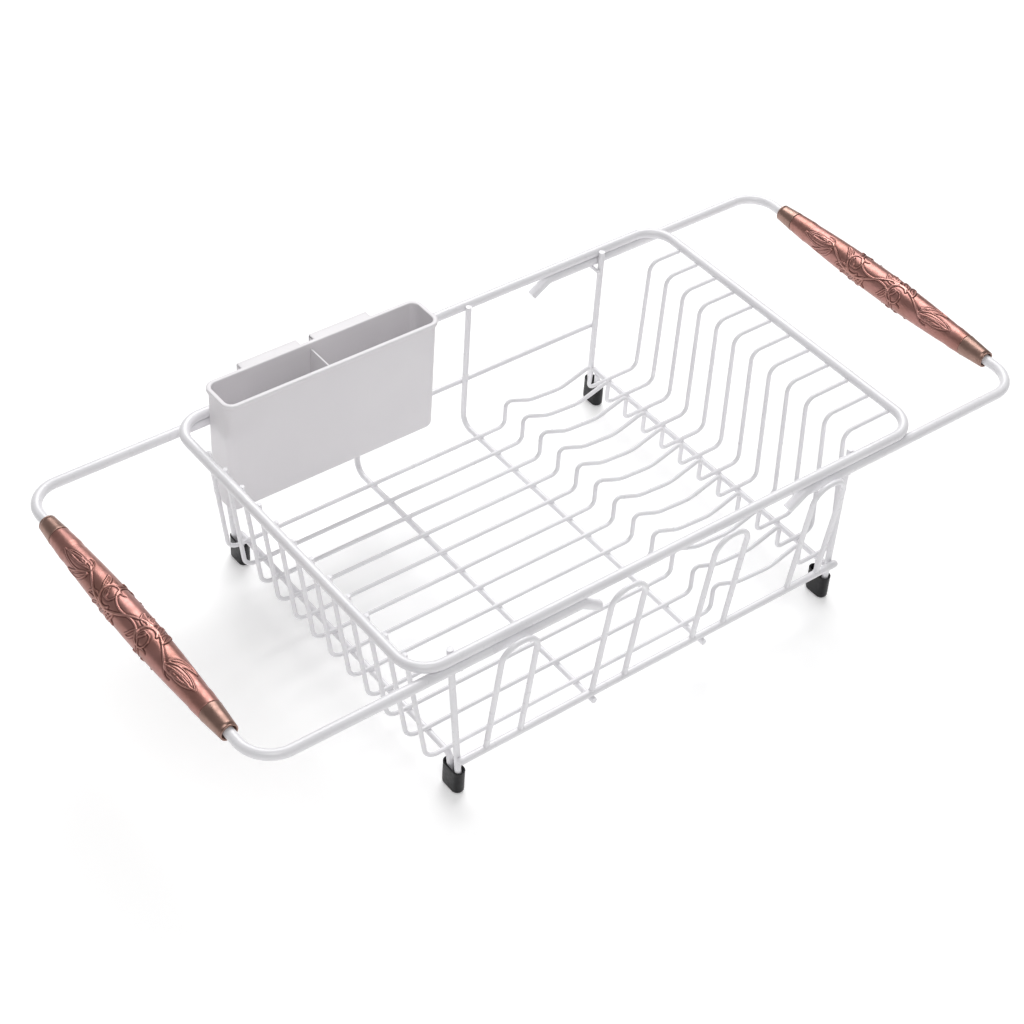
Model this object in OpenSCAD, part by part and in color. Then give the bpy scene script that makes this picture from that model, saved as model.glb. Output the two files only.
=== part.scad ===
// Over-sink dish drying rack: welded wire basket on four capped feet,
// two sliding U-shaped arms with turned grips, and a hang-on cutlery bin.
// Origin: on the table plane, under the middle of the rim.
// X runs along the rack, Y across it towards the bin side, Z up.

/* [Rim] */
// Half length of the rim, to the middle of the wire
rim_half_x = 185; // [175:1:210]
// Half width of the rim, to the middle of the wire
rim_half_y = 123; // [118:1:140]
// Height of the rim wire above the table
rim_z = 119.5; // [116:0.5:135]
// Diameter of the rim wire
rim_d = 6.4; // [5:0.2:8]
// Corner radius of the rim
rim_corner = 18; // [14:1:20]

/* [Floor and legs] */
// Height of the floor bars above the table
floor_z = 26.1; // [24:0.1:34]
// Diameter of the leg wires
post_d = 4.0; // [3:0.2:5]
// Diameter of the floor bars
bar_d = 3.8; // [3:0.2:5]
// Distance of the left legs from the middle, at the floor bars
left_leg_x = 150; // [148:1:152]
// How far the left legs lean inwards towards the feet, in degrees
left_leg_lean = 5.5; // [0:0.5:7]
// Distance of the right legs from the middle
right_leg_x = 135; // [130:1:138]
// Place of the second floor bar
bar_2_x = -57; // [-70:1:-40]
// Place of the third floor bar
bar_3_x = 27; // [15:1:32]
// How far post and upright tips stand above the middle of the rim
tip_rise = 2.2; // [1.6:0.2:4]
// Bend radius where a floor bar turns up at the back
upright_bend = 9; // [6:1:12]

/* [Feet] */
// Length of a foot cap, across the rack
cap_l = 16.4; // [16:0.2:20]
// Width of a foot cap
cap_w = 7.8; // [7.4:0.2:10]
// Height of a foot cap
cap_h = 17.5; // [14:0.5:18]
// Thickness of the cap under the wire
cap_floor = 2.5; // [2:0.5:4]
// Rounding of the cap's lower ends
cap_round = 2.5; // [2:0.5:6]
// Wall of a foot cap outside the leg
cap_wall = 1.2; // [1:0.1:2]
// Distance between the two legs of a foot's hairpin
hairpin_w = 7.5; // [7:0.5:9]

/* [Rails and loops] */
// Diameter of the bottom front rail
rail_d = 4.8; // [4:0.2:5.4]
// How far the front rail runs past the right legs
rail_past_leg = 1; // [1:0.5:8]
// Height of the back rail above the table
back_rail_z = 60; // [50:0.5:75]
// Diameter of a cup loop wire
loop_d = 3.4; // [3:0.2:4]
// Width of a cup loop, between the middles of its legs
loop_w = 24.4; // [20:0.2:30]
// Distance from one cup loop to the next
loop_pitch = 76.4; // [60:0.2:78]
// Middle of the first cup loop
loop_first_x = -121; // [-130:1:-115]
// Top of a cup loop below the middle of the rim
loop_top_drop = 2.5; // [2:0.5:12]
// How far a cup loop leans outwards
loop_lean = 9.5; // [9:0.5:14]

/* [Row wires] */
// Number of row wires
row_count = 12; // [12:1:12]
// Distance from one row wire to the next
row_pitch = 18.8; // [17:0.1:19]
// Middle of the row wires on the floor, from the rack's middle
row_mid_y = -5.3; // [-6:0.1:0]
// Distance from one row wire to the next at the rim
row_end_pitch = 17.9; // [17:0.1:19]
// Middle of the row wires' left ends
row_left_end_y = -8; // [-9:0.1:0]
// Middle of the row wires' right ends
row_right_end_y = -3.2; // [-4:0.1:0]
// Diameter of a row wire
row_d = 2.8; // [2.4:0.2:3.2]
// Where the row wires reach the floor at the left end
row_left_x = -165; // [-166:0.5:-160]
// Left side of the plate cradle
cradle_left_x = 46; // [42:1:50]
// Right side of the plate cradle
cradle_right_x = 117; // [112:1:122]
// Height of the cradle's crests above the row wires' floor
cradle_crest_h = 21; // [16:1:26]
// Height of the cradle's valley above the row wires' floor
cradle_valley_h = 10.8; // [8:0.2:13]
// Plate backrest at the back row, from the middle of the rim's right side
backrest_inset = 27; // [25:0.5:30]
// How much further in the plate backrest stands at the front row
backrest_skew = 12; // [0:0.5:13]
// Drop of the row wires' top run below the middle of the rim
backrest_drop = 1.8; // [0.6:0.2:2.6]

/* [Sliding arms] */
// Diameter of the arm rod
arm_d = 6.6; // [5.8:0.2:7]
// Gap between rim and arm rod
arm_gap = 0.3; // [0.2:0.1:0.6]
// Cross run of the left arm, from the middle
left_arm_x = 283; // [270:1:290]
// Cross run of the right arm, from the middle
right_arm_x = 276; // [265:1:282]
// Rod length of the left arm, cross run to stop bend
left_arm_l = 210; // [200:1:214]
// Rod length of the right arm, cross run to stop bend
right_arm_l = 181; // [176:1:186]
// Corner radius of the arm
arm_corner = 20; // [16:1:22]
// Length of the stop at a rod's inner end
stop_l = 15; // [12:1:18]
// Angle of the stop below the rod
stop_angle = 33; // [28:1:40]
// Diameter of the guide pegs under the rods
guide_d = 2.4; // [2.2:0.2:3.6]

/* [Grips] */
// Length of a grip with its ferrules
grip_l = 192; // [180:2:196]
// Diameter of a grip at its middle
grip_mid_d = 20; // [18:0.5:22]
// Diameter of a grip at its ends
grip_end_d = 10.8; // [10.6:0.2:13]
// Length of a front ferrule
ferrule_front_l = 18.5; // [14:0.5:22]
// Length of a back ferrule
ferrule_back_l = 14; // [12:0.5:22]
// Running clearance of a ferrule on the rod, on the radius
run_fit = 0.05; // [0.02:0.01:0.1]

/* [Cutlery bin] */
// Left face of the bin
bin_left_x = -167; // [-168:0.5:-160]
// Length of the bin
bin_l = 150; // [130:1:152]
// Depth of the bin, front to back
bin_w = 26; // [24:0.5:32]
// Height of the bin
bin_h = 83; // [70:1:85]
// Top of the bin above the middle of the rim
bin_rise = 28; // [22:1:32]
// Wall thickness of the bin
bin_wall = 1.6; // [1.4:0.2:2.6]
// Overhang of the bin's lip
lip_out = 1.3; // [0.8:0.1:3]
// Height of the bin's lip
lip_h = 3; // [2:0.5:8]
// Corner radius of the bin
bin_corner = 6; // [5:0.5:9]
// Length of one hook, along the rim
hook_l = 42; // [30:1:44]
// Gap between the two hooks
hook_gap = 9; // [6:1:14]
// Left edge of the left hook, from the middle
hook_left_x = -137; // [-140:1:-132]
// Place of the bin's divider
divider_x = -94; // [-110:1:-80]
// Thickness of the divider
divider_t = 1.2; // [1:0.2:2.4]

/* [Hidden] */
$fn = 48;
white = "#eeecef";
bin_grey = "#dbd9de";
black = "#26262a";
copper = "#b4745f";
bronze = "#80685a";
// Depth to which crossing wires sink into each other at a spot weld
weld = 0.15;
// A bend's wire is drawn a little thinner, and starts this far inside the straight wire
thinning = 0.06;
lead_in = 0.25;
eps = 0.01;
row_tip = 0.6;
post_y = rim_half_y - (rim_d + post_d) / 2 + weld;
upright_y = rim_half_y - (rim_d + bar_d) / 2 + weld;
tip_z = rim_z + tip_rise;
hairpin_z = cap_floor + post_d / 2 + 0.1;
hairpin_bend = hairpin_w / 2 - 0.5;
loop_bend = loop_w / 2 - 1;
front_rail_y = post_y + (post_d + rail_d) / 2 - weld;
front_rail_z = floor_z + (bar_d + rail_d) / 2 - weld;
back_rail_y = post_y + (post_d + bar_d) / 2 - weld;
row_floor_z = floor_z + (bar_d + row_d) / 2 - weld;
backrest_z = rim_z - backrest_drop;
arm_z = rim_z - (rim_d + arm_d) / 2 - arm_gap;
arm_y = post_y + (post_d + arm_d) / 2 + 0.3;
guide_z = arm_z - (arm_d + guide_d) / 2 - 0.2;
guide_side = (post_d + guide_d) / 2 - weld / 2;
spigot_l = 6;
bin_back_y = upright_y - bar_d / 2 - 0.4;
bin_top_z = rim_z + bin_rise;
bin_bottom_z = bin_top_z - bin_h;
hook_t = 2;
hook_gap_y = arm_y + arm_d / 2 + 0.5;
hook_top_z = bin_top_z - 6.5;
hook_low_z = rim_z - 6;
groove_depth = 0.8;
drain_d = 5;

// ---- wire shapes ----

function unit(v) = v / norm(v);
function leg_of(a, b, r) = r * tan(acos(max(-1, min(1, a * b))) / 2);
function turn_leg(p, i, r) =
    i == 0 || i == len(p) - 1 ? 0 : leg_of(unit(p[i] - p[i - 1]), unit(p[i + 1] - p[i]), r[i]);

// straight round bar from a to b
module bar_between(a, b, d) {
    run = b - a;
    flat = norm([run.x, run.y]);
    translate(a)
        rotate([0, atan2(flat, run.z), atan2(run.y, run.x)])
            cylinder(h = norm(run), d = d);
}

// round arc of wire at corner p, between directions u and v
module bend(p, u, v, r, d) {
    n = unit(cross(u, v));
    m = cross(n, u);
    c = p - u * leg_of(u, v, r) + m * r;
    lead = asin(lead_in / r);
    multmatrix([
        [-m.x, u.x, n.x, c.x],
        [-m.y, u.y, n.y, c.y],
        [-m.z, u.z, n.z, c.z],
        [0, 0, 0, 1]
    ])
        rotate([0, 0, -lead])
            rotate_extrude(angle = acos(u * v) + 2 * lead)
                translate([r, 0])
                    circle(d = d - thinning);
}

// wire along the points p, bent to the radius r[i] at point i
module wire(p, r, d) {
    for (i = [0 : len(p) - 2]) {
        u = unit(p[i + 1] - p[i]);
        a = p[i] + u * turn_leg(p, i, r);
        b = p[i + 1] - u * turn_leg(p, i + 1, r);
        bar_between(a, b, d);
    }
    for (i = [1 : len(p) - 2])
        bend(p[i], unit(p[i] - p[i - 1]), unit(p[i + 1] - p[i]), r[i], d);
}

// closed rounded rectangle of wire in a level plane
module wire_ring(half_x, half_y, z, r, d) {
    for (s = [-1, 1]) {
        bar_between([r - half_x, s * half_y, z], [half_x - r, s * half_y, z], d);
        bar_between([s * half_x, r - half_y, z], [s * half_x, half_y - r, z], d);
    }
    for (q = [0 : 3]) {
        sx = q == 0 || q == 3 ? 1 : -1;
        sy = q < 2 ? 1 : -1;
        translate([sx * (half_x - r), sy * (half_y - r), z])
            rotate([0, 0, 90 * q])
                rotate_extrude(angle = 90)
                    translate([r, 0])
                        circle(d = d);
    }
}

// ---- basket frame ----

module rim() {
    color(white) wire_ring(rim_half_x, rim_half_y, rim_z, rim_corner, rim_d);
}

// hairpin foot points on one side: post foot, then the return leg
function hairpin(x, s) = [
    [x, s * post_y, hairpin_z],
    [x, s * (post_y - hairpin_w), hairpin_z]
];

// place along the rack of the leaning left legs at height z
function left_x(z) = -left_leg_x - (z - floor_z) * tan(left_leg_lean);

// one bent wire: post, foot, floor run, foot, post
module left_leg_frame() {
    foot = post_y - hairpin_w;
    flat = concat(
        [[0, -post_y, tip_z]],
        hairpin(0, -1),
        [[0, -foot, floor_z], [0, foot, floor_z]],
        [hairpin(0, 1)[1], hairpin(0, 1)[0]],
        [[0, post_y, tip_z]]
    );
    points = [for (p = flat) [left_x(p.z), p.y, p.z]];
    h = hairpin_bend;
    radii = [0, h, h, 3.5, 3.5, h, h, 0];
    color(white) wire(points, radii, post_d);
}

// post whose hairpin foot comes back up to the floor bar
module right_leg(s) {
    top = floor_z - bar_d / 2 + weld;
    points = concat(
        [[right_leg_x, s * post_y, tip_z]],
        hairpin(right_leg_x, s),
        [[right_leg_x, s * (post_y - hairpin_w), top]]
    );
    color(white) wire(points, [0, hairpin_bend, hairpin_bend, 0], post_d);
}

module right_front_leg() right_leg(-1);
module right_back_leg() right_leg(1);

// floor bar that turns up at the back and ends under the front rail
module upright_bar(x) {
    points = [
        [x, -front_rail_y - rail_d / 2 - 1, floor_z],
        [x, upright_y, floor_z],
        [x, upright_y, tip_z]
    ];
    color(white) wire(points, [0, upright_bend, 0], bar_d);
}

module floor_bar_2() upright_bar(bar_2_x);
module floor_bar_3() upright_bar(bar_3_x);

// straight floor bar between the right legs
module floor_bar_4() {
    half = post_y - post_d / 2 - 1;
    color(white) bar_between([right_leg_x, -half, floor_z], [right_leg_x, half, floor_z], bar_d);
}

// rail with rounded ends
module rail(x0, x1, y, z, d) {
    color(white) {
        bar_between([x0, y, z], [x1, y, z], d);
        for (x = [x0, x1]) translate([x, y, z]) sphere(d = d);
    }
}

module front_rail() {
    rail(left_x(front_rail_z), right_leg_x + rail_past_leg, -front_rail_y, front_rail_z, rail_d);
}

module back_rail() {
    rail(left_x(back_rail_z), right_leg_x, back_rail_y, back_rail_z, bar_d);
}

// ---- row wires ----

// distance of the rim wire from the middle at a given y
function rim_x(y) =
    let (past = abs(y) - (rim_half_y - rim_corner))
    past <= 0 ? rim_half_x : rim_half_x - rim_corner + sqrt(rim_corner ^ 2 - past ^ 2);

module row_wire(n) {
    step = (row_count + 1) / 2 - n;
    y = row_mid_y + step * row_pitch;
    left_y = row_left_end_y + step * row_end_pitch;
    right_y = row_right_end_y + step * row_end_pitch;
    inset = (rim_d + row_d) / 2 - weld;
    back_x = rim_half_x - backrest_inset - backrest_skew * (n - 1) / (row_count - 1);
    crest = row_floor_z + cradle_crest_h;
    valley = row_floor_z + cradle_valley_h;
    span = cradle_right_x - cradle_left_x;
    points = [
        [inset - rim_x(left_y), left_y, rim_z + row_tip],
        [row_left_x, y, row_floor_z],
        [cradle_left_x, y, row_floor_z],
        [cradle_left_x, y, crest],
        [cradle_left_x + 0.28 * span, y, valley + 1.8],
        [cradle_left_x + 0.65 * span, y, valley],
        [cradle_right_x, y, crest - 2],
        [cradle_right_x, y, row_floor_z],
        [back_x, y, row_floor_z],
        [back_x, right_y, backrest_z],
        [rim_x(right_y) - inset + row_d / 2, right_y, backrest_z]
    ];
    color(white) wire(points, [0, 9, 5, 3.5, 20, 25, 3.2, 4, 6, 7, 0], row_d);
}

// ---- cup loops on the front ----

module cup_loop(n) {
    x = loop_first_x + (n - 1) * loop_pitch;
    foot_z = front_rail_z + rail_d / 2 - weld;
    top_z = rim_z - loop_top_drop;
    out_y = front_rail_y + loop_lean;
    points = [
        [x - loop_w / 2, -front_rail_y, foot_z],
        [x - loop_w / 2, -out_y, top_z],
        [x + loop_w / 2, -out_y, top_z],
        [x + loop_w / 2, -front_rail_y, foot_z]
    ];
    color(white) wire(points, [0, loop_bend, loop_bend, 0], loop_d);
}

// ---- feet ----

// slot outline, l long along y, w wide
module slot(l, w) {
    square([w, l - w], center = true);
    for (s = [-1, 1]) translate([0, s * (l - w) / 2]) circle(d = w);
}

// cap outline from the side: flat under, rounded at both lower ends
module cap_side() {
    translate([-cap_h - 1, -cap_l / 2]) square([cap_h + 1 - cap_round, cap_l]);
    translate([-cap_round - 1, cap_round - cap_l / 2]) square([cap_round + 1, cap_l - 2 * cap_round]);
    for (e = [-1, 1]) translate([-cap_round, e * (cap_l / 2 - cap_round)]) circle(r = cap_round);
}

// soft cap pushed over a hairpin foot; the pocket leans with the leg, about its floor
module foot_cap(x, s, lean) {
    mid = s * (post_y + post_d / 2 + 0.2 + cap_wall - cap_l / 2);
    color(black) translate([x, mid, 0]) difference() {
        intersection() {
            linear_extrude(cap_h) slot(cap_l, cap_w);
            rotate([0, 90, 0]) translate([0, 0, -cap_w]) linear_extrude(2 * cap_w) cap_side();
        }
        translate([0, 0, cap_h / 2]) rotate([0, -lean, 0]) translate([0, 0, cap_floor - cap_h / 2])
            linear_extrude(cap_h) slot(cap_l - 2 * cap_wall, post_d + 0.4);
    }
}

module foot_cap_front_left() foot_cap(left_x(cap_h / 2), -1, left_leg_lean);
module foot_cap_front_right() foot_cap(right_leg_x, -1, 0);
module foot_cap_back_left() foot_cap(left_x(cap_h / 2), 1, left_leg_lean);
module foot_cap_back_right() foot_cap(right_leg_x, 1, 0);

// ---- arm guides ----

// peg on a post, under the arm rod; x is the peg's place along the rack
module arm_guide(x, s) {
    color(white)
        bar_between([x, s * (post_y - 1.5), guide_z], [x, s * (arm_y + 0.2), guide_z], guide_d);
}

left_guide_x = left_x(guide_z) + guide_side / cos(left_leg_lean);
right_guide_x = right_leg_x - guide_side;
module arm_guide_front_left() arm_guide(left_guide_x, -1);
module arm_guide_front_right() arm_guide(right_guide_x, -1);
module arm_guide_back_left() arm_guide(left_guide_x, 1);
module arm_guide_back_right() arm_guide(right_guide_x, 1);

// ---- sliding arms ----

// U-shaped rod; side is -1 for the left arm and 1 for the right one
module arm(side, cross_x, rod_l) {
    bend_x = side * (cross_x - rod_l);
    tail_x = bend_x - side * stop_l * cos(stop_angle);
    tail_z = arm_z - stop_l * sin(stop_angle);
    points = [
        [tail_x, -arm_y, tail_z],
        [bend_x, -arm_y, arm_z],
        [side * cross_x, -arm_y, arm_z],
        [side * cross_x, arm_y, arm_z],
        [bend_x, arm_y, arm_z],
        [tail_x, arm_y, tail_z]
    ];
    color(white) wire(points, [0, 8, arm_corner, arm_corner, 8, 0], arm_d);
}

module left_arm() arm(-1, left_arm_x, left_arm_l);
module right_arm() arm(1, right_arm_x, right_arm_l);

// ---- grips ----

// radius of the grip's barrel at a distance t from its middle
function grip_r(t) =
    grip_end_d / 2 + (grip_mid_d - grip_end_d) / 2 * (1 - (2 * t / grip_l) ^ 2);

// places a shape turned about z onto the cross run of an arm
module on_cross_run(x) translate([x, 0, arm_z]) rotate([-90, 0, 0]) children();

// length of the ferrule at the front (-1) or back (1), and the grip's seam with it
function ferrule_l(s) = s < 0 ? ferrule_front_l : ferrule_back_l;
function seam_y(s) = grip_l / 2 - ferrule_l(s);

// barrel tube with a socket for a ferrule at each end
module grip(x) {
    steps = 18;
    front = -seam_y(-1);
    back = seam_y(1);
    outline = [for (i = [0 : steps]) let (t = front + (back - front) * i / steps) [grip_r(t), t]];
    bore = arm_d / 2 + 1;
    socket = bore + 0.8;
    color(copper) on_cross_run(x) rotate_extrude() polygon(concat(
        outline,
        [[socket, back], [socket, back - spigot_l], [bore, back - spigot_l]],
        [[bore, front + spigot_l], [socket, front + spigot_l], [socket, front]]
    ));
}

// end collar: spigot into the grip, running bore on the rod, rolled end
module ferrule(x, s) {
    bore = arm_d / 2 + run_fit;
    spigot = arm_d / 2 + 1.8;
    steps = 6;
    seam = seam_y(s);
    outline = [for (i = [0 : steps]) let (t = seam + ferrule_l(s) * i / steps) [grip_r(t), t]];
    color(bronze) on_cross_run(x) rotate([s > 0 ? 0 : 180, 0, 0]) rotate_extrude() polygon(concat(
        [[bore, seam - spigot_l], [spigot, seam - spigot_l], [spigot, seam]],
        outline,
        [[bore, grip_l / 2]]
    ));
}

module left_grip() grip(-left_arm_x);
module right_grip() grip(right_arm_x);
module left_ferrule_front() ferrule(-left_arm_x, -1);
module left_ferrule_back() ferrule(-left_arm_x, 1);
module right_ferrule_front() ferrule(right_arm_x, -1);
module right_ferrule_back() ferrule(right_arm_x, 1);

// ---- cutlery bin ----

// rounded rectangle from corner a, size s, corner radius r
module rounded_plate(a, s, r) {
    translate([a.x + r, a.y]) square([s.x - 2 * r, s.y]);
    translate([a.x, a.y + r]) square([s.x, s.y - 2 * r]);
    for (x = [r, s.x - r], y = [r, s.y - r]) translate([a.x + x, a.y + y]) circle(r = r);
}

// bin outline grown by g on every side
module bin_outline(g) {
    rounded_plate(
        [bin_left_x - g, bin_back_y - bin_w - g],
        [bin_l + 2 * g, bin_w + 2 * g],
        bin_corner + g
    );
}

// hook over the rim: top plate, tongue behind the rim, two ribs that sit on it
module bin_hook(x) {
    reach = hook_gap_y + hook_t - bin_back_y + 1;
    seat_z = rim_z + rim_d / 2 + 0.1;
    translate([x, bin_back_y - 1, hook_top_z - hook_t]) cube([hook_l, reach, hook_t]);
    translate([x, hook_gap_y, hook_low_z]) cube([hook_l, hook_t, hook_top_z - hook_low_z]);
    for (rib_x = [x, x + hook_l - hook_t])
        translate([rib_x, bin_back_y - 1, seat_z]) cube([hook_t, reach, hook_top_z - seat_z]);
}

module cutlery_bin() {
    color(bin_grey) difference() {
        union() {
            translate([0, 0, bin_bottom_z]) linear_extrude(bin_h) bin_outline(0);
            translate([0, 0, bin_top_z - lip_h]) linear_extrude(lip_h) bin_outline(lip_out);
            bin_hook(hook_left_x);
            bin_hook(hook_left_x + hook_l + hook_gap);
        }
        translate([0, 0, bin_bottom_z + bin_wall]) linear_extrude(bin_h) bin_outline(-bin_wall);
        for (y = [bin_back_y - bin_w + bin_wall - groove_depth, bin_back_y - bin_wall - eps])
            translate([divider_x - divider_t / 2 - 0.1, y, bin_bottom_z + bin_wall])
                cube([divider_t + 0.2, groove_depth + eps, bin_h]);
        for (i = [0 : 7])
            translate([bin_left_x + bin_l * (i + 0.5) / 8, bin_back_y - bin_w / 2, bin_bottom_z - 1])
                cylinder(h = bin_wall + 2, d = drain_d);
    }
}

// thin plate that drops into the bin's grooves
module bin_divider() {
    depth = bin_w - 2 * bin_wall + 2 * groove_depth - 0.2;
    color(bin_grey)
        translate([divider_x - divider_t / 2, bin_back_y - (bin_w + depth) / 2, bin_bottom_z + bin_wall])
            cube([divider_t, depth, bin_h - bin_wall - 4]);
}

rim();
left_leg_frame();
right_front_leg();
right_back_leg();
floor_bar_2();
floor_bar_3();
floor_bar_4();
front_rail();
back_rail();
row_wire(1);  // row_wire_01
row_wire(2);  // row_wire_02
row_wire(3);  // row_wire_03
row_wire(4);  // row_wire_04
row_wire(5);  // row_wire_05
row_wire(6);  // row_wire_06
row_wire(7);  // row_wire_07
row_wire(8);  // row_wire_08
row_wire(9);  // row_wire_09
row_wire(10);  // row_wire_10
row_wire(11);  // row_wire_11
row_wire(12);  // row_wire_12
cup_loop(1);  // cup_loop_1
cup_loop(2);  // cup_loop_2
cup_loop(3);  // cup_loop_3
cup_loop(4);  // cup_loop_4
foot_cap_front_left();
foot_cap_front_right();
foot_cap_back_left();
foot_cap_back_right();
arm_guide_front_left();
arm_guide_front_right();
arm_guide_back_left();
arm_guide_back_right();
left_arm();
left_grip();
left_ferrule_front();
left_ferrule_back();
right_arm();
right_grip();
right_ferrule_front();
right_ferrule_back();
cutlery_bin();
bin_divider();
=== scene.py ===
"""The looks of a dish drying rack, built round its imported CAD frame, in metres and in the CAD's frame.

Shapes are worked out in millimetres, as their comments say, and add_piece turns them into metres.
"""

import math

import bpy
import numpy as np
from mathutils import Matrix, Vector


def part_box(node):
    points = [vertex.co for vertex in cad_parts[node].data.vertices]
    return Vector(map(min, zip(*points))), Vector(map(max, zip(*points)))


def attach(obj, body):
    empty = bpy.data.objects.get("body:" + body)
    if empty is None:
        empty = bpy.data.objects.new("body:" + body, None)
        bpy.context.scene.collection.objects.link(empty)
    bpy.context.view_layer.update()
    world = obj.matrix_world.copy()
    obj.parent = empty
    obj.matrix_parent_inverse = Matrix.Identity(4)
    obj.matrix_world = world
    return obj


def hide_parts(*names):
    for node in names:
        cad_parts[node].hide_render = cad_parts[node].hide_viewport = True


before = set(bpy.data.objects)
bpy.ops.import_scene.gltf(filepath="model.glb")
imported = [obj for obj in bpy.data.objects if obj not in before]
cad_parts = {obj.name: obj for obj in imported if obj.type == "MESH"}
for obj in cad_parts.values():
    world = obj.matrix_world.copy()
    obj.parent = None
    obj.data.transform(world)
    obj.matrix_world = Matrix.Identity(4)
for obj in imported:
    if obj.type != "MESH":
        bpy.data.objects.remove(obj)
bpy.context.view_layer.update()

MM = 0.001

# The camera, at the photograph's viewing angle. EYE is measured from the middle of the rim.
EYE = (-0.68362, -0.78737, 0.87418)
YAW = 40.295
PITCH = 42.217
ROLL = 4.361
LENS = 80.27
SENSOR = 36.0
SHIFT_X = -0.0101
SHIFT_Y = 0.0014

# Light and floor, in metres and watts.
WORLD_LIGHT = 0.28
KEY_PLACE = (0.9, 1.2, 1.9)
KEY_AIM = (0, 0, 0)
KEY_WIDTH = 1.9
KEY_POWER = 42
FILL_PLACE = (-0.8, -1.3, 2.2)
FILL_AIM = (0, 0, 0.1)
FILL_WIDTH = 1.6
FILL_POWER = 20
FLOOR_HALF = 6.0
FLOOR_WHITE = 0.95
FLOOR_GLOW = 0.21

# Wires and their weld beads, in millimetres. A bead's size is its half width along X, Y and Z.
ROWS = 12
LOOPS = 4
POST_R = 2.0
BAR_R = 1.9
ROW_R = 1.4
LOOP_R = 1.7
RIM_R = 3.2
FLOOR_BEAD = (1.75, 1.75, 0.75)
LEFT_BEAD = (0.9, 1.7, 1.7)
RIGHT_BEAD = (1.3, 1.7, 1.5)
LOOP_BEAD = (2.25, 1.95, 1.0)
BEAD_RINGS = 6
BEAD_POINTS = 12

# Feet, in millimetres.
CAP_STEPS = 8
CAP_SKIN = 0.12
CAP_FLOOR = 2.5
CAP_ROUND = 2.5
CAP_EDGE = 1.3
CAP_LIP = 0.45
CAP_WALL = 1.2
POCKET_R = 2.2
LEFT_LEAN = 5.5

# Grips and ferrules, in millimetres.
GRIP_LENGTH = 192.0
GRIP_END_R = 5.4
GRIP_BORE_R = 4.3
GRIP_SUNK = 0.42
GRIP_SKIN = 0.1
GRIP_PLAIN = 0.4
EDGE_LONG = 0.15
EDGE_OUTER = 0.25
EDGE_INNER = 0.55
CELLS_ALONG = 470
CELLS_AROUND = 188
SEGMENTS = 64
RUN_R = 3.36
SPIGOT_R = 4.25
SPIGOT = 5.5
SEAM_GAP = 0.05
SEAM_LIP = (0.3, 0.08)
SEAM_END = (0.9, 0.06)
TAPER_STEPS = 8
TAPER_SKIN = 0.02
MOUTH_R = 4.25
THROAT_R = 4.1
MOUTH_DEEP = 4.0
RIM_BEAD_R = 0.55
RIM_BEAD_OUT = 0.12

# The vine pattern on the grips, in millimetres on the unrolled barrel, and its turn in degrees.
AROUND = 56.5
VINE_TURN = {"left": 118, "right": 136}
VINE_WAVE = 76.0
VINE_SWING = 7.0
VINE_END = 68.0
STEM_W = 0.8
STEM_H = 0.5
LINE_W = 0.55
LINE_H = 0.38
DOT_STEP = 0.28
SCROLL_R = 7.8
SCROLL_TURN = 6.6
SCROLL_SHRINK = 0.13
SWELL_H = 0.34
GROOVE_W = 0.6
GROOVE_H = 0.17
REACH = 3.0
FADE = 4.0
TIP_W = 0.3
TIP_FALL = 0.25
BLADE_SKIRT = 0.8
BLADE_SHAPE = 0.75
RIB_SHARE = 0.75
RIB_H = 0.8

# Leaves and curls of one scroll. A crest leaf is (shift, drop, heading, length, half width), a back
# leaf (share of the volute, length, half width), and a curl (share of the volute, length).
CREST_LEAVES = ((-11.0, 2.6, 0.75, 13.0, 2.1), (-4.0, 0.6, 0.6, 11.0, 1.8), (3.5, 0.0, 0.35, 9.0, 1.5))
BACK_LEAVES = ((0.22, 12.5, 1.9), (0.4, 10.0, 1.6))
CURLS = ((0.55, 6.5), (0.7, 5.0))
PALM_FOOT = 27.0
PALM_SPREAD = 3.0
STEM_STOP = 24.0
OFFSHOOT_LONG = 34
OFFSHOOT_BEND = (-0.035, -0.13)

# Patina, from 0 in a groove to 1 on a worn crest.
BORE_TONE = 0.1
EDGE_TONE = 0.3
PLAIN_TONE = 0.52
GROUND_TONE = 0.5
SWELL_TONE = 0.16
CREST_TONE = 0.42
GROOVE_TONE = 0.46
GROOVE_TONE_W = 0.42

# Cutlery bin, in millimetres.
BIN_WALL = 1.6
LIP_OUT = 1.3
LIP_HIGH = 3.0
LIP_ROUND = 0.7
BIN_CORNER = 6.0
BIN_FOOT_ROUND = 3.0
BIN_DRAFT = 0.4
BIN_GAP = 0.4
BIN_DRAINS = 8
DRAIN_R = 2.5
DRAIN_POINTS = 24
DIVIDER_GAP = 0.9
DIVIDER_LIFT = 0.2
HOOK_DROP = 6.5
TONGUE_DROP = 6.0
HOOK_ROUND = 0.8
RIB_ROUND = 0.5
HOOK_T = 2.0
HOOK_LONG = 42.0
HOOK_GAP = 9.0
HOOK_LEFT = -137.0


# --- materials -------------------------------------------------------------------------------

def new_material(name):
    made = bpy.data.materials.new(name)
    made.use_nodes = True
    tree = made.node_tree
    return made, tree, tree.nodes["Principled BSDF"]


def noise_node(tree, scale, detail=2.0):
    """Noise on the piece's own coordinates, which are metres in the CAD's frame."""
    place = tree.nodes.new("ShaderNodeTexCoord").outputs["Object"]
    made = tree.nodes.new("ShaderNodeTexNoise")
    made.inputs["Scale"].default_value = scale
    made.inputs["Detail"].default_value = detail
    tree.links.new(place, made.inputs["Vector"])
    return made.outputs["Fac"]


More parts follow.
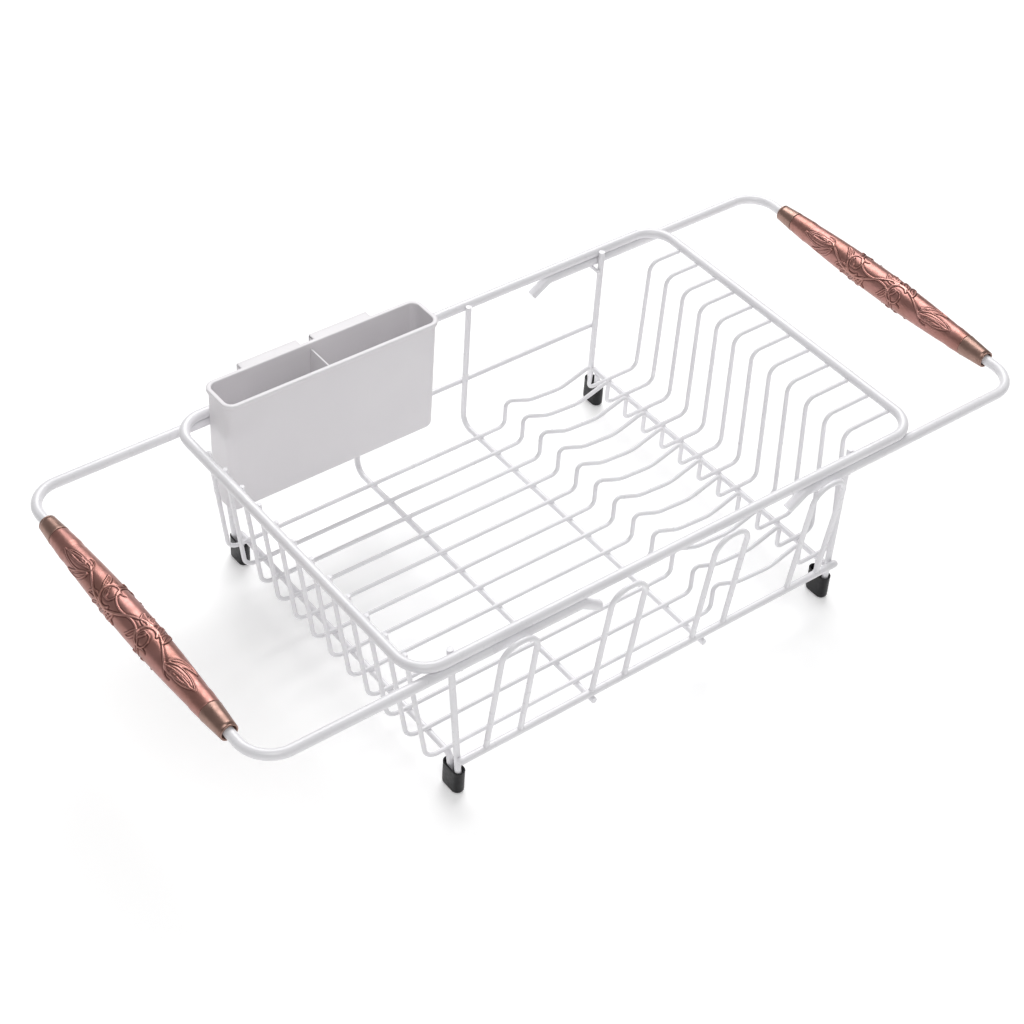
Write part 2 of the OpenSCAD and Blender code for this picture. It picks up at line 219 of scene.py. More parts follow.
def ramp(tree, value, stops):
    """A colour ramp through stops, each (position, colour)."""
    made = tree.nodes.new("ShaderNodeValToRGB")
    marks = made.color_ramp.elements
    while len(marks) < len(stops):
        marks.new(0.5)
    for mark, (position, colour) in zip(marks, stops):
        mark.position = position
        mark.color = (*colour, 1.0)
    tree.links.new(value, made.inputs["Fac"])
    return made.outputs["Color"]


def spread(tree, value, low, high):
    """Maps a noise's middle range, 0.3 to 0.7, to low..high."""
    made = tree.nodes.new("ShaderNodeMapRange")
    made.inputs["From Min"].default_value = 0.3
    made.inputs["From Max"].default_value = 0.7
    made.inputs["To Min"].default_value = low
    made.inputs["To Max"].default_value = high
    tree.links.new(value, made.inputs["Value"])
    return made.outputs["Result"]


def tinted(tree, colour, over, share):
    """colour multiplied by over, as far as share says."""
    made = tree.nodes.new("ShaderNodeMix")
    made.data_type = "RGBA"
    made.blend_type = "MULTIPLY"
    made.inputs["Factor"].default_value = share
    tree.links.new(colour, made.inputs["A"])
    tree.links.new(over, made.inputs["B"])
    return made.outputs["Result"]


def bump(tree, height, depth, strength):
    made = tree.nodes.new("ShaderNodeBump")
    made.inputs["Distance"].default_value = depth
    made.inputs["Strength"].default_value = strength
    tree.links.new(height, made.inputs["Height"])
    return made.outputs["Normal"]


def plain_finish(name, tones, mottle, rough, rough_scale, grain, depth, detail=2.0):
    """A finish whose colour drifts between two tones, with uneven gloss and a fine grain."""
    made, tree, shader = new_material(name)
    colour = ramp(tree, noise_node(tree, mottle, detail), [(0.3, tones[0]), (0.7, tones[1])])
    gloss = spread(tree, noise_node(tree, rough_scale), rough[0], rough[1])
    tree.links.new(colour, shader.inputs["Base Color"])
    tree.links.new(gloss, shader.inputs["Roughness"])
    tree.links.new(bump(tree, noise_node(tree, grain), depth, 0.5), shader.inputs["Normal"])
    return made, shader


def make_finishes():
    coat, shader = plain_finish(
        "white_powder_coat", ((0.8, 0.79, 0.815), (0.85, 0.842, 0.865)),
        mottle=30, rough=(0.26, 0.4), rough_scale=240, grain=900, depth=0.00005)
    shader.inputs["Coat Weight"].default_value = 0.3
    shader.inputs["Coat Roughness"].default_value = 0.14
    rubber, shader = plain_finish(
        "black_rubber", ((0.005, 0.005, 0.0062), (0.011, 0.011, 0.013)),
        mottle=320, rough=(0.34, 0.5), rough_scale=420, grain=2400, depth=0.00006)
    shader.inputs["Specular IOR Level"].default_value = 0.3
    plastic, shader = plain_finish(
        "pale_grey_plastic", ((0.79, 0.768, 0.79), (0.82, 0.8, 0.818)),
        mottle=16, rough=(0.38, 0.48), rough_scale=80, grain=2200, depth=0.00004)
    shader.inputs["Subsurface Weight"].default_value = 0.12
    shader.inputs["Subsurface Radius"].default_value = (0.004, 0.004, 0.004)
    shader.inputs["Subsurface Scale"].default_value = 1.0
    bronze, shader = plain_finish(
        "aged_bronze", ((0.29, 0.178, 0.146), (0.39, 0.245, 0.202)),
        mottle=70, rough=(0.3, 0.44), rough_scale=300, grain=1500, depth=0.00004, detail=5.0)
    shader.inputs["Metallic"].default_value = 0.85
    return {
        "white_powder_coat": coat, "black_rubber": rubber, "pale_grey_plastic": plastic,
        "aged_bronze": bronze, "antique_copper": antique_copper(),
    }


def antique_copper():
    """Rose copper, bright on the relief and dark in its grooves, as the mesh's patina attribute says."""
    made, tree, shader = new_material("antique_copper")
    worn = tree.nodes.new("ShaderNodeAttribute")
    worn.attribute_name = "patina"
    tones = [
        (0.0, (0.1, 0.043, 0.038)),
        (0.3, (0.27, 0.122, 0.106)),
        (0.5, (0.43, 0.212, 0.188)),
        (1.0, (0.64, 0.345, 0.305)),
    ]
    colour = ramp(tree, worn.outputs["Fac"], tones)
    cloud = ramp(tree, noise_node(tree, 55, 4.0), [(0.35, (0.8, 0.77, 0.7)), (0.65, (1.0, 1.0, 1.0))])
    tree.links.new(tinted(tree, colour, cloud, 0.8), shader.inputs["Base Color"])
    shader.inputs["Metallic"].default_value = 0.85
    tree.links.new(spread(tree, noise_node(tree, 300), 0.3, 0.46), shader.inputs["Roughness"])
    tree.links.new(bump(tree, noise_node(tree, 1300), 0.00005, 0.5), shader.inputs["Normal"])
    return made


FINISH = make_finishes()


def coat_cad_nodes():
    """Gives each CAD node its slot's finish in place of the plain one it was packed with."""
    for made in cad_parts.values():
        for place in made.material_slots:
            place.material = FINISH[place.material.name.split(".")[0]]


# --- mesh helpers ----------------------------------------------------------------------------

def add_piece(name, points, faces, finish, body, nodes=()):
    """Makes a smooth mesh of points in millimetres, gives it its finish, and puts it on its body."""
    mesh = bpy.data.meshes.new(name)
    mesh.from_pydata([tuple(c * MM for c in p) for p in points], [], faces)
    mesh.polygons.foreach_set("use_smooth", [True] * len(mesh.polygons))
    mesh.update()
    piece = bpy.data.objects.new(name, mesh)
    bpy.context.scene.collection.objects.link(piece)
    mesh.materials.append(FINISH[finish])
    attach(piece, body)
    if nodes:
        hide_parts(*nodes)
    return piece


def band(first, second, count):
    """Quads between two rings of count points, whose first points have these numbers."""
    return [
        (first + i, first + (i + 1) % count, second + (i + 1) % count, second + i)
        for i in range(count)
    ]


def loft(rings, closed):
    """Points and faces of a skin over rings of equal length; closed joins the last ring to the first."""
    count = len(rings[0])
    points = [p for ring in rings for p in ring]
    faces = []
    for k in range(len(rings) - 1):
        faces += band(k * count, (k + 1) * count, count)
    last = (len(rings) - 1) * count
    if closed:
        faces += band(last, 0, count)
    else:
        faces.append(tuple(reversed(range(count))))
        faces.append(tuple(range(last, last + count)))
    return points, faces


def add_loft(points, faces, rings):
    """Adds a closed-off skin over rings to the points and faces of a bigger mesh."""
    more, sides = loft(rings, False)
    first = len(points)
    points += more
    faces += [tuple(first + i for i in face) for face in sides]


def arc(centre, radius, start, end, steps):
    """Points of a flat arc, angles in degrees."""
    angles = [math.radians(start + (end - start) * i / steps) for i in range(steps + 1)]
    return [(centre[0] + radius * math.cos(a), centre[1] + radius * math.sin(a)) for a in angles]


def node_box(node):
    """A CAD node's lowest and highest corner, in millimetres."""
    low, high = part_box(node)
    return low / MM, high / MM


def rounded_ring(low, high, radius, z, steps=7):
    """Points round a level rounded rectangle, anticlockwise."""
    spots = [(high[0], high[1], 0), (low[0], high[1], 90), (low[0], low[1], 180), (high[0], low[1], 270)]
    ring = []
    for x, y, turn in spots:
        inward_x = radius if x == low[0] else -radius
        inward_y = radius if y == low[1] else -radius
        corner = arc((x + inward_x, y + inward_y), radius, turn, turn + 90, steps)
        ring += [(px, py, z) for px, py in corner]
    return ring


# --- grips -----------------------------------------------------------------------------------

def new_relief(front, back):
    """An empty relief on the unrolled barrel, from front to back in millimetres."""
    shape = (CELLS_ALONG, CELLS_AROUND)
    return {
        "along": np.linspace(front, back, CELLS_ALONG),
        "gap": np.full(shape, REACH),
        "share": np.zeros(shape),
        "high": np.zeros(shape),
        "swell": np.zeros(shape),
    }


def window(relief, u, v, reach):
    """The cells within reach of (u, v), and how far each is from it."""
    along = relief["along"]
    step = along[1] - along[0]
    low = max(0, int((u - reach - along[0]) / step))
    top = min(CELLS_ALONG, int((u + reach - along[0]) / step) + 2)
    cell = AROUND / CELLS_AROUND
    columns = np.arange(int((v - reach) / cell), int((v + reach) / cell) + 2)
    spot = np.ix_(np.arange(low, max(low, top)), columns % CELLS_AROUND)
    return spot, np.hypot(along[low:max(low, top), None] - u, columns[None, :] * cell - v)


def press(relief, u, v, width, high):
    """Presses one round of a raised bead at (u, v): width is its half width."""
    spot, distance = window(relief, u, v, width + REACH)
    gap = distance - width
    nearer = gap < relief["gap"][spot]
    relief["gap"][spot] = np.where(nearer, gap, relief["gap"][spot])
    relief["share"][spot] = np.where(nearer, np.clip(distance / width, 0, 1), relief["share"][spot])
    relief["high"][spot] = np.where(nearer, high, relief["high"][spot])


def puff(relief, u, v, width, high):
    """Raises a broad soft mound at (u, v) under the lines."""
    spot, distance = window(relief, u, v, width)
    mound = high * np.clip(1 - (distance / width) ** 2, 0, 1)
    relief["swell"][spot] = np.maximum(relief["swell"][spot], mound)


def path(u, v, heading, long, bend):
    """Points (u, v, heading) of a curve; its bend, in radians a millimetre, goes from bend[0] to bend[1]."""
    steps = max(6, int(long / DOT_STEP))
    points = []
    for i in range(steps + 1):
        points.append((u, v, heading))
        u += math.cos(heading) * long / steps
        v += math.sin(heading) * long / steps
        heading += (bend[0] + (bend[1] - bend[0]) * i / steps) * long / steps
    return points


def draw(pen, points, width, high):
    """Draws a line whose half width goes from width[0] to width[1]."""
    for i, (u, v, _) in enumerate(points):
        t = i / (len(points) - 1)
        pen(press, u, v, width[0] + (width[1] - width[0]) * t, high * (1 - TIP_FALL * t))


def leaf(pen, u, v, heading, long, half, curl):
    """A leaf: a soft blade, its outline, and its rib, all bending towards a curled tip."""
    spine = path(u, v, heading, long, (curl * 0.2 / long, curl * 1.8 / long))
    last = len(spine) - 1
    for i, (a, b, turn) in enumerate(spine):
        t = i / last
        wide = half * math.sin(math.pi * t ** BLADE_SHAPE) ** BLADE_SHAPE
        pen(puff, a, b, wide + BLADE_SKIRT, SWELL_H)
        for side in (-1, 1):
            edge_u = a - side * wide * math.sin(turn)
            edge_v = b + side * wide * math.cos(turn)
            pen(press, edge_u, edge_v, LINE_W, LINE_H)
    draw(pen, spine[: int(RIB_SHARE * last)], (LINE_W, TIP_W), LINE_H * RIB_H)


def scroll(pen, at, side):
    """A volute under one crest, with a leaf in its eye and leaves on its back and on the crest."""
    centre = side * (VINE_SWING - 0.6 - SCROLL_R)
    spine = []
    turn = -0.7
    while turn < SCROLL_TURN:
        radius = SCROLL_R * math.exp(-SCROLL_SHRINK * max(0.0, turn))
        angle = side * (math.pi / 2 - turn)
        u = at + radius * math.cos(angle)
        v = centre + radius * math.sin(angle)
        spine.append((u, v, angle - side * math.pi / 2))
        turn += DOT_STEP / radius
    draw(pen, spine, (STEM_W, LINE_W), STEM_H)
    u, v, heading = spine[-1]
    leaf(pen, u, v, heading - side * 0.4, 6.0, 1.5, -side * 1.4)
    for share, long, half in BACK_LEAVES:
        u, v, heading = spine[int(share * len(spine))]
        leaf(pen, u, v, heading + side * 0.35, long, half, side * 1.0)
    for share, long in CURLS:
        u, v, heading = spine[int(share * len(spine))]
        curl = path(u, v, heading + side * 0.3, long, (side * 0.02, side * 0.4))
        draw(pen, curl, (LINE_W, TIP_W), LINE_H)
    crest = VINE_SWING + 0.3
    for shift, drop, heading, long, half in CREST_LEAVES:
        leaf(pen, at + shift, side * (crest - drop), side * heading, long, half, side * 0.9)


def palmette(pen, end):
    """The big leaf at one end of the vine, between two long side leaves and two curls."""
    foot = end * (VINE_END - PALM_FOOT)
    heading = 0 if end > 0 else math.pi
    start = VINE_SWING * math.sin(2 * math.pi * foot / VINE_WAVE)
    inward = -1 if start * end > 0 else 1
    leaf(pen, foot, start, heading + inward * 0.3, 26, 3.4, -inward * 0.5)
    leaf(pen, foot + end * 6, start * 0.9, heading + inward * 0.02, 17, 1.9, inward * 0.25)
    leaf(pen, foot, start + end * inward * PALM_SPREAD, heading + inward * 0.75, 19, 2.3, -inward * 0.8)
    for lift in (0.5, 1.0):
        far = path(foot, start, heading - inward * lift, 15 - 5 * lift, (inward * 0.01, inward * 0.3))
        draw(pen, far, (LINE_W, TIP_W), LINE_H)


def vine(relief, middle, way):
    """One winding stem with its scrolls and end leaves; way -1 turns the design half a turn round."""
    def pen(tool, u, v, width, high):
        tool(relief, way * u, middle + way * v, width, high)

    wave = 2 * math.pi / VINE_WAVE
    reach = VINE_END - STEM_STOP
    for i in range(int(2 * reach / DOT_STEP)):
        u = i * DOT_STEP - reach
        pen(press, u, VINE_SWING * math.sin(wave * u), STEM_W, STEM_H)
    for side in (-1, 1):
        scroll(pen, side * VINE_WAVE / 4, side)
        offshoot = path(0, 0, 0.2 + (0 if side > 0 else math.pi), OFFSHOOT_LONG, OFFSHOOT_BEND)
        draw(pen, offshoot, (STEM_W * 0.8, LINE_W), STEM_H)
        u, v, heading = offshoot[-1]
        leaf(pen, u, v, heading - 0.3, 9, 1.7, -1.2)
    for end in (-1, 1):
        palmette(pen, end)


def relief_heights(relief):
    """Height above the sunk ground and patina, both per cell."""
    gap = relief["gap"]
    bead = relief["high"] * np.sqrt(np.clip(1 - relief["share"] ** 2, 0, 1))
    groove = np.exp(-((gap / GROOVE_W) ** 2))
    height = relief["swell"] + np.where(gap < 0, bead, -GROOVE_H * groove)
    raised = relief["swell"] / SWELL_H * SWELL_TONE
    crest = np.where(gap < 0, bead / STEM_H, 0)
    sunk = np.exp(-((gap / GROOVE_TONE_W) ** 2))
    shade = GROUND_TONE + raised + CREST_TONE * crest - GROOVE_TONE * sunk
    return height, np.clip(shade, 0, 1)


def barrel_r(t, middle_r):
    """Radius of the barrel at t along it."""
    return GRIP_END_R + (middle_r - GRIP_END_R) * (1 - (2 * t / GRIP_LENGTH) ** 2)


def make_grip(side):
    """A barrel sleeve with the vine pattern raised out of its sunk middle."""
    low, high = node_box(side + "_grip")
    centre = (low + high) / 2
    middle_r = (high[2] - low[2]) / 2
    relief = new_relief(low[1] + GRIP_PLAIN, high[1] - GRIP_PLAIN)
    first = AROUND * VINE_TURN[side] / 360
    vine(relief, first, 1)
    vine(relief, first + AROUND / 2, -1)
    height, shade = relief_heights(relief)
    fade = np.clip((VINE_END + 1 - np.abs(relief["along"])) / FADE, 0, 1)[:, None]
    turn = 2 * math.pi * np.arange(CELLS_AROUND) / CELLS_AROUND
    rings, patina = [], []

    def ring(t, radius, tone):
        radius = np.broadcast_to(radius, (CELLS_AROUND,))
        x = centre[0] + radius * np.cos(turn)
        z = centre[2] + radius * np.sin(turn)
        rings.append(list(zip(x, np.full(CELLS_AROUND, t), z)))
        patina.append(np.broadcast_to(tone, (CELLS_AROUND,)))

    ring(low[1], GRIP_BORE_R, BORE_TONE)
    ring(low[1], barrel_r(low[1], middle_r) - EDGE_INNER, BORE_TONE)
    ring(low[1] + EDGE_LONG, barrel_r(low[1], middle_r) - EDGE_OUTER, EDGE_TONE)
    for i, t in enumerate(relief["along"]):
        ground = barrel_r(t, middle_r) - GRIP_SUNK * fade[i, 0] - GRIP_SKIN
        ring(t, ground + height[i] * fade[i, 0], PLAIN_TONE + (shade[i] - PLAIN_TONE) * fade[i, 0])
    ring(high[1] - EDGE_LONG, barrel_r(high[1], middle_r) - EDGE_OUTER, EDGE_TONE)
    ring(high[1], barrel_r(high[1], middle_r) - EDGE_INNER, BORE_TONE)
    ring(high[1], GRIP_BORE_R, BORE_TONE)
    points, faces = loft(rings, True)
    body = side + "_grip"
    piece = add_piece(body + "_barrel", points, faces, "antique_copper", body, [body])
    tones = piece.data.attributes.new("patina", "FLOAT", "POINT")
    tones.data.foreach_set("value", np.concatenate(patina).astype(np.float32))


def lathe(name, outline, centre, finish, body, nodes):
    """Turns a closed outline of (distance along Y, radius) about the cross run."""
    turn = [2 * math.pi * i / SEGMENTS for i in range(SEGMENTS)]
    rings = []
    for y, radius in outline:
        rings.append([(centre[0] + radius * math.cos(a), y, centre[2] + radius * math.sin(a)) for a in turn])
    points, faces = loft(rings, True)
    return add_piece(name, points, faces, finish, body, nodes)


def make_ferrule(side, end):
    """A tapered collar with a fine step at the seam and a rolled rim round its open mouth."""
    node = f"{side}_ferrule_{end}"
    low, high = node_box(side + "_grip")
    centre = (low + high) / 2
    way = -1 if end == "front" else 1
    tip = GRIP_LENGTH / 2
    seam = abs(low[1] if end == "front" else high[1])
    middle_r = (high[2] - low[2]) / 2
    seam_r = barrel_r(seam, middle_r)
    outline = [(seam - SPIGOT, RUN_R), (seam - SPIGOT, SPIGOT_R), (seam, SPIGOT_R)]
    outline += [(seam + SEAM_GAP, seam_r - 0.5), (seam + SEAM_GAP, seam_r - 0.1)]
    outline += [(seam + along, seam_r + out) for along, out in (SEAM_LIP, SEAM_END)]
    taper_start = seam + SEAM_END[0]
    taper_end = tip - 2.2 * RIM_BEAD_R
    for i in range(1, TAPER_STEPS + 1):
        t = taper_start + (taper_end - taper_start) * i / TAPER_STEPS
        outline.append((t, barrel_r(t, middle_r) + TAPER_SKIN))
    rim_r = barrel_r(tip, middle_r)
    outline += [
        (tip - RIM_BEAD_R + along, rim_r - RIM_BEAD_R + RIM_BEAD_OUT + out)
        for along, out in arc((0, 0), RIM_BEAD_R, 170, -60, 12)
    ]
    outline += [(tip - 1.0, MOUTH_R), (tip - MOUTH_DEEP, THROAT_R), (tip - MOUTH_DEEP - 0.2, RUN_R)]
    turned = [(way * y, r) for y, r in outline]
    lathe(node + "_collar", turned, centre, "aged_bronze", side + "_grip", [node])


# --- feet ------------------------------------------------------------------------------------

def slot_ring(x, y, z, half_l, half_w, steps=9):
    """Points round a level slot, long along Y."""
    straight = half_l - half_w
    ring = [(x + px, y + straight + py, z) for px, py in arc((0, 0), half_w, 0, 180, steps)]
    ring += [(x + px, y - straight + py, z) for px, py in arc((0, 0), half_w, 180, 360, steps)]
    return ring


def make_cap(node):
    """A moulded sleeve: rounded foot, flared lip, and a pocket that leans with its leg."""
    low, high = node_box(node)
    centre = (low + high) / 2
    half_l = (high[1] - low[1]) / 2
    half_w = (high[0] - low[0]) / 2
    top = high[2]
    lean = math.tan(math.radians(LEFT_LEAN)) if "left" in node else 0.0
    rings = []
    for i in range(CAP_STEPS + 1):
        turn = math.radians(90 * i / CAP_STEPS)
        z = CAP_ROUND * (1 - math.cos(turn))
        short = CAP_ROUND * (1 - math.sin(turn))
        edge = CAP_EDGE * max(0.0, 1 - z / CAP_EDGE) ** 2
        rings.append(slot_ring(centre[0], centre[1], z, half_l - short, half_w - edge - CAP_SKIN))
    rings.append(slot_ring(centre[0], centre[1], top - 1.6, half_l - 0.1, half_w - CAP_SKIN))
    for out, up in arc((0, 0), CAP_LIP, 0, 180, 6):
        z = top - CAP_LIP + up
        rings.append(slot_ring(centre[0], centre[1], z, half_l - CAP_LIP + out, half_w - CAP_LIP + out))
    for z in (top - CAP_LIP - 0.6, top / 2, CAP_FLOOR + 0.6, CAP_FLOOR):
        shift = -lean * (z - top / 2)
        inset = 0.5 if z == CAP_FLOOR else 0.0
        rings.append(slot_ring(centre[0] + shift, centre[1], z, half_l - CAP_WALL - inset, POCKET_R - inset))
    points, faces = loft(rings, False)
    add_piece(node + "_sleeve", points, faces, "black_rubber", "basket", [node])


# --- welds -----------------------------------------------------------------------------------

def add_weld(points, faces, spot, sizes):
    """A small squashed bead of coated weld metal, a little uneven."""
    first = len(points)
    rows, columns = BEAD_RINGS, BEAD_POINTS
    seed = math.sin(spot[0] * 12.9 + spot[1] * 78.2 + spot[2] * 37.7)
    points.append((spot[0], spot[1], spot[2] - sizes[2]))
    for i in range(1, rows):
        tilt = math.pi * i / rows
        for j in range(columns):
            turn = 2 * math.pi * j / columns
            uneven = 1 + 0.09 * math.sin(2 * turn + seed * 9) + 0.06 * math.cos(3 * turn + 5 * seed)
            points.append((
                spot[0] + sizes[0] * uneven * math.sin(tilt) * math.cos(turn),
                spot[1] + sizes[1] * uneven * math.sin(tilt) * math.sin(turn),
                spot[2] - sizes[2] * math.cos(tilt),
            ))
    points.append((spot[0], spot[1], spot[2] + sizes[2]))
    for j in range(columns):
        faces.append((first, first + 1 + (j + 1) % columns, first + 1 + j))
    for i in range(rows - 2):
        start = first + 1 + i * columns
        faces += band(start, start + columns, columns)
    start = first + 1 + (rows - 2) * columns
    for j in range(columns):
        faces.append((start + j, start + (j + 1) % columns, len(points) - 1))


def middle_y(node, picked):
    """Middle, across the rack, of a node's vertices whose (x, y, z) in millimetres picked() accepts."""
    spots = [v.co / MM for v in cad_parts[node].data.vertices]
    ys = [spot.y for spot in spots if picked(spot)]
    return (min(ys) + max(ys)) / 2


def make_welds():
    """Beads where rows cross the floor bars, and where wires meet the rim and the rails."""
    points, faces = [], []
    bar_tops = []
    for node in ("floor_bar_2", "floor_bar_3", "floor_bar_4"):
        low, high = node_box(node)
        bar_tops.append(((low[0] + high[0]) / 2, low[2] + 2 * BAR_R))
    floor_z = bar_tops[0][1] - BAR_R
    bar_tops.append((floor_bar_x_of_frame(*node_box("left_leg_frame"), floor_z), floor_z + POST_R))
    rim_low, rim_high = node_box("rim")
    rim_z = (rim_low[2] + rim_high[2]) / 2
    for n in range(1, ROWS + 1):
        node = f"row_wire_{n:02d}"
        low, high = node_box(node)
        floor_y = middle_y(node, lambda spot: spot.z < low[2] + ROW_R)
        left_y = middle_y(node, lambda spot: spot.x < low[0] + ROW_R)
        right_y = middle_y(node, lambda spot: spot.x > high[0] - ROW_R)
        for x, top in bar_tops:
            add_weld(points, faces, (x, floor_y, top - 0.1), FLOOR_BEAD)
        add_weld(points, faces, (low[0] + ROW_R - 0.9, left_y, rim_z - 0.6), LEFT_BEAD)
        add_weld(points, faces, (high[0] - 0.6, right_y, high[2] - 2 * ROW_R), RIGHT_BEAD)
    rail_low, rail_high = node_box("front_rail")
    rail_y = (rail_low[1] + rail_high[1]) / 2
    for n in range(1, LOOPS + 1):
        low, high = node_box(f"cup_loop_{n}")
        for x in (low[0] + LOOP_R, high[0] - LOOP_R):
            add_weld(points, faces, (x, rail_y - 0.1, rail_high[2] - 0.2), LOOP_BEAD)
    add_piece("weld_beads", points, faces, "white_powder_coat", "basket")


def floor_bar_x_of_frame(low, high, floor_z):
    """Where the leaning left frame's floor run lies: its top end is its furthest left."""
    top_x = low[0] + POST_R
    return top_x + (high[2] - floor_z) * math.tan(math.radians(LEFT_LEAN))


# --- cutlery bin -----------------------------------------------------------------------------

def bin_size():
    """The bin's body: its lowest and highest corners, without lip and hooks."""
    low, high = node_box("cutlery_bin")
    body_low = Vector((low[0] + LIP_OUT, low[1] + LIP_OUT, low[2]))
    body_high = Vector((high[0] - LIP_OUT, bin_back(), high[2]))
    return body_low, body_high


def bin_back():
    """Place of the bin's back face, which hangs just in front of the uprights."""
    uprights = node_box("floor_bar_2")[1][1]
    return uprights - 2 * BAR_R - BIN_GAP


def make_bin():
    """An open box with a slight draft, a rolled lip and rounded feet, and drain holes in its floor."""
    low, high = bin_size()
    rings = []

    def level(z, out, corner):
        draft = BIN_DRAFT * (high[2] - z) / (high[2] - low[2])
        grow = out - draft
        near = (low[0] - grow, low[1] - grow)
        far = (high[0] + grow, high[1] + grow)
        rings.append(rounded_ring(near, far, corner, z))

    r = BIN_FOOT_ROUND
    for i in range(7):
        turn = math.radians(90 * i / 6)
        level(low[2] + r - r * math.cos(turn), -r + r * math.sin(turn), BIN_CORNER - r + r * math.sin(turn))
    under = high[2] - LIP_HIGH
    inner_corner = BIN_CORNER - BIN_WALL
    level(under - 20, 0, BIN_CORNER)
    level(under - 0.9, 0, BIN_CORNER)
    for along, out in arc((0, 0), 0.6, 270, 360, 3):
        level(under - 0.3 + 0.3 * (along / 0.6), 0.5 + out / 2 - 0.2, BIN_CORNER + 0.4)
    for turn_out, turn_up in arc((0, 0), LIP_ROUND, -80, 90, 7):
        up = under + LIP_ROUND if turn_up < 0 else high[2] - LIP_ROUND
        level(up + turn_up, LIP_OUT - LIP_ROUND + turn_out, BIN_CORNER + LIP_OUT)
    for turn_out, turn_up in arc((0, 0), LIP_ROUND, 90, 180, 4):
        level(high[2] - LIP_ROUND + turn_up, -BIN_WALL + LIP_ROUND + turn_out, inner_corner + 0.4)
    level(high[2] - 6, -BIN_WALL, inner_corner)
    floor = low[2] + BIN_WALL
    for i in range(5):
        turn = math.radians(90 * i / 4)
        level(floor + 2 - 2 * math.sin(turn), -BIN_WALL - 2 + 2 * math.cos(turn), inner_corner)
    points, faces = loft(rings, False)
    body = "cutlery_bin"
    shell = add_piece(body + "_shell", points, faces, "pale_grey_plastic", body, [body])
    pierce(shell, low, high)


def pierce(shell, low, high):
    """Cuts the drain holes through the bin's floor."""
    points, faces = [], []
    turn = [2 * math.pi * i / DRAIN_POINTS for i in range(DRAIN_POINTS)]
    y = (low[1] + high[1]) / 2
    for n in range(BIN_DRAINS):
        x = low[0] + (high[0] - low[0]) * (n + 0.5) / BIN_DRAINS
        add_loft(points, faces, [
            [(x + DRAIN_R * math.cos(a), y + DRAIN_R * math.sin(a), z) for a in turn]
            for z in (low[2] - 2, low[2] + 5)
        ])
    mesh = bpy.data.meshes.new("drains")
    mesh.from_pydata([tuple(c * MM for c in p) for p in points], [], faces)
    cutter = bpy.data.objects.new("drains", mesh)
    bpy.context.scene.collection.objects.link(cutter)
    cut = shell.modifiers.new("drains", "BOOLEAN")
    cut.operation = "DIFFERENCE"
    cut.solver = "EXACT"
    cut.object = cutter
    bpy.context.view_layer.update()
    drilled = bpy.data.meshes.new_from_object(shell.evaluated_get(bpy.context.evaluated_depsgraph_get()))
    shell.modifiers.clear()
    shell.data = drilled
    bpy.data.objects.remove(cutter)


def soft_box(points, faces, low, high, radius):
    """Adds a block whose upright edges and rims are rounded."""
    rings = []
    for i in range(5):
        turn = math.radians(90 * i / 4)
        inset = radius * (1 - math.sin(turn))
        rings.append((low[2] + radius * (1 - math.cos(turn)), inset))
    for i in range(5):
        turn = math.radians(90 * i / 4)
        inset = radius * (1 - math.cos(turn))
        rings.append((high[2] - radius * (1 - math.sin(turn)), inset))
    made = []
    for z, inset in rings:
        near = (low[0] + inset, low[1] + inset)
        far = (high[0] - inset, high[1] - inset)
        made.append(rounded_ring(near, far, max(0.05, radius - inset * 0.9), z, 4))
    add_loft(points, faces, made)


def make_hooks():
    """Two hooks over the rim, each a top plate, a tongue behind the rim and two ribs."""
    high = bin_size()[1]
    back = node_box("cutlery_bin")[1][1]
    rim_top = node_box("rim")[1][2]
    plate_top = high[2] - HOOK_DROP
    under = plate_top - 0.3
    tongue_low = rim_top - RIM_R - TONGUE_DROP
    points, faces = [], []
    for n in range(2):
        x = HOOK_LEFT + n * (HOOK_LONG + HOOK_GAP)
        end = x + HOOK_LONG
        soft_box(points, faces, (x, high[1] - 1.2, plate_top - HOOK_T), (end, back, plate_top), HOOK_ROUND)
        soft_box(points, faces, (x, back - HOOK_T, tongue_low), (end, back, under), HOOK_ROUND)
        for rib in (x, end - HOOK_T):
            near = (rib, high[1] - 1.0, rim_top + 0.1)
            soft_box(points, faces, near, (rib + HOOK_T, back - 0.3, under), RIB_ROUND)
    add_piece("cutlery_bin_hooks", points, faces, "pale_grey_plastic", "cutlery_bin")


def make_divider():
    """The plate that parts the bin in two."""
    low, high = node_box("bin_divider")
    points, faces = [], []
    near = (low[0], low[1] + DIVIDER_GAP, low[2] + DIVIDER_LIFT)
    soft_box(points, faces, near, (high[0], high[1] - DIVIDER_GAP, high[2]), RIB_ROUND)
    add_piece("bin_divider_plate", points, faces, "pale_grey_plastic", "cutlery_bin", ["bin_divider"])


# --- stage -----------------------------------------------------------------------------------

def make_floor():
    mesh = bpy.data.meshes.new("floor")
    spots = [(-1, -1), (1, -1), (1, 1), (-1, 1)]
    mesh.from_pydata([(x * FLOOR_HALF, y * FLOOR_HALF, 0) for x, y in spots], [], [(0, 1, 2, 3)])
    floor = bpy.data.objects.new("floor", mesh)
    bpy.context.scene.collection.objects.link(floor)
    made, _, shader = new_material("pale_floor")
    shader.inputs["Base Color"].default_value = (FLOOR_WHITE, FLOOR_WHITE, FLOOR_WHITE, 1)
    shader.inputs["Roughness"].default_value = 0.9
    shader.inputs["Specular IOR Level"].default_value = 0.1
    shader.inputs["Emission Color"].default_value = (1, 1, 1, 1)
    shader.inputs["Emission Strength"].default_value = FLOOR_GLOW
    mesh.materials.append(made)


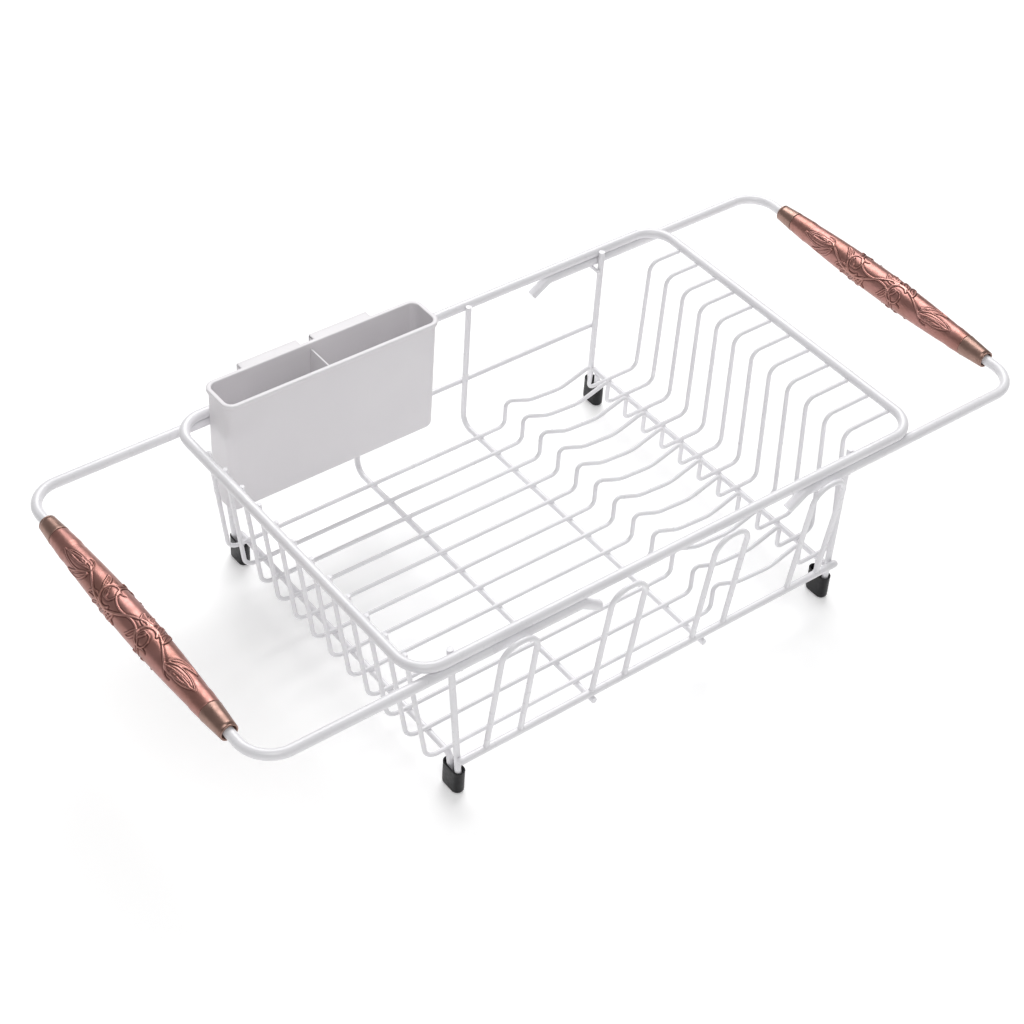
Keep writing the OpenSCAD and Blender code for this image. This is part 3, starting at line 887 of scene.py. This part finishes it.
def soft_light(name, place, aim, width, power):
    data = bpy.data.lights.new(name, "AREA")
    data.shape = "DISK"
    data.size = width
    data.energy = power
    lamp = bpy.data.objects.new(name, data)
    lamp.location = place
    lamp.rotation_euler = (Vector(aim) - Vector(place)).to_track_quat("-Z", "Y").to_euler()
    bpy.context.scene.collection.objects.link(lamp)


def make_world():
    world = bpy.data.worlds.new("studio")
    world.use_nodes = True
    back = world.node_tree.nodes["Background"]
    back.inputs["Color"].default_value = (1, 1, 1, 1)
    back.inputs["Strength"].default_value = WORLD_LIGHT
    bpy.context.scene.world = world


def make_camera():
    yaw, pitch, roll = (math.radians(x) for x in (YAW, PITCH, ROLL))
    flat = math.cos(pitch)
    forward = Vector((math.sin(yaw) * flat, math.cos(yaw) * flat, -math.sin(pitch)))
    level = Vector((math.cos(yaw), -math.sin(yaw), 0))
    lifted = level.cross(forward)
    right = level * math.cos(roll) + lifted * math.sin(roll)
    up = lifted * math.cos(roll) - level * math.sin(roll)
    rim_low, rim_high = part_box("rim")
    data = bpy.data.cameras.new("camera")
    data.sensor_width = SENSOR
    data.lens = LENS
    data.shift_x = SHIFT_X
    data.shift_y = SHIFT_Y
    data.clip_end = 50
    camera = bpy.data.objects.new("camera", data)
    turn = Matrix((right, up, -forward)).transposed().to_4x4()
    camera.matrix_world = Matrix.Translation((rim_low + rim_high) / 2 + Vector(EYE)) @ turn
    bpy.context.scene.collection.objects.link(camera)
    bpy.context.scene.camera = camera


# --- everything ------------------------------------------------------------------------------

coat_cad_nodes()
for side in ("left", "right"):
    make_grip(side)
    for end in ("front", "back"):
        make_ferrule(side, end)
for node in sorted(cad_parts):
    if node.startswith("foot_cap"):
        make_cap(node)
make_welds()
make_bin()
make_hooks()
make_divider()
make_floor()
make_world()
soft_light("key", KEY_PLACE, KEY_AIM, KEY_WIDTH, KEY_POWER)
soft_light("fill", FILL_PLACE, FILL_AIM, FILL_WIDTH, FILL_POWER)
make_camera()
bpy.context.scene.view_settings.view_transform = "Standard"
